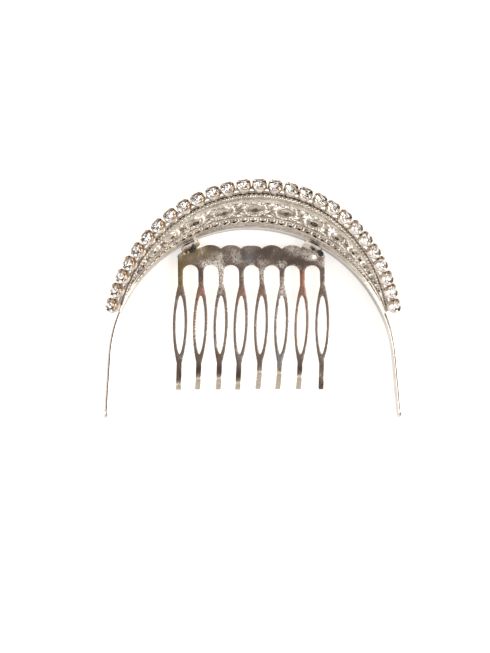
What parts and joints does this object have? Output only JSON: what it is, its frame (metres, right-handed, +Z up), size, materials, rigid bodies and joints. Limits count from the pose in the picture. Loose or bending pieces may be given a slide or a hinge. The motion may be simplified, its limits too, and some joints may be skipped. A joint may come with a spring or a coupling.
{
  "type": "rhinestone tiara hair comb",
  "caption": "U-shaped headband strip with a flared openwork rhinestone ornament, a crest of round stones and a looped-tooth comb soldered inside.",
  "frame": {"origin": "middle of the footprint, on the plane that the headband stands on", "axes": "+Z up from the headband's lower edge to the crest, -Y towards the ornament's front, +Y along the arms and the comb's teeth, +X along the width"},
  "size_m": [0.0782, 0.0598, 0.0246],
  "materials": {
    "band_metal": "polished rhodium-coloured plating",
    "comb_metal": "polished nickel-coloured plating, cloudy, with heat tint",
    "filigree_metal": "polished rhodium-coloured plating",
    "setting_metal": "polished rhodium-coloured plating",
    "solder": "dull solder with burnt flux",
    "crystal": "clear faceted glass with a foiled back"
  },
  "bodies": {
    "root": {"base_rail": "filigree_metal", "centre_setting": "setting_metal", "centre_stone": "crystal", "chain_links": "setting_metal", "comb": "comb_metal", "crest_beads": "filigree_metal", "crest_rail": "filigree_metal", "crest_setting_00": "setting_metal", "crest_setting_01": "setting_metal", "crest_setting_02": "setting_metal", "crest_setting_03": "setting_metal", "crest_setting_04": "setting_metal", "crest_setting_05": "setting_metal", "crest_setting_06": "setting_metal", "crest_setting_07": "setting_metal", "crest_setting_08": "setting_metal", "crest_setting_09": "setting_metal", "crest_setting_10": "setting_metal", "crest_setting_11": "setting_metal", "crest_setting_12": "setting_metal", "crest_setting_13": "setting_metal", "crest_stone_00": "crystal", "crest_stone_01": "crystal", "crest_stone_02": "crystal", "crest_stone_03": "crystal", "crest_stone_04": "crystal", "crest_stone_05": "crystal", "crest_stone_06": "crystal", "crest_stone_07": "crystal", "crest_stone_08": "crystal", "crest_stone_09": "crystal", "crest_stone_10": "crystal", "crest_stone_11": "crystal", "crest_stone_12": "crystal", "crest_stone_13": "crystal", "gallery_arches": "filigree_metal", "gallery_beads": "filigree_metal", "gallery_rings": "filigree_metal", "gallery_settings": "setting_metal", "gallery_stones": "crystal", "headband": "band_metal", "lower_rail": "filigree_metal", "small_row_settings": "setting_metal", "small_row_stones": "crystal", "solder_left": "solder", "solder_right": "solder", "upper_rail": "filigree_metal"}
  },
  "joints": []
}
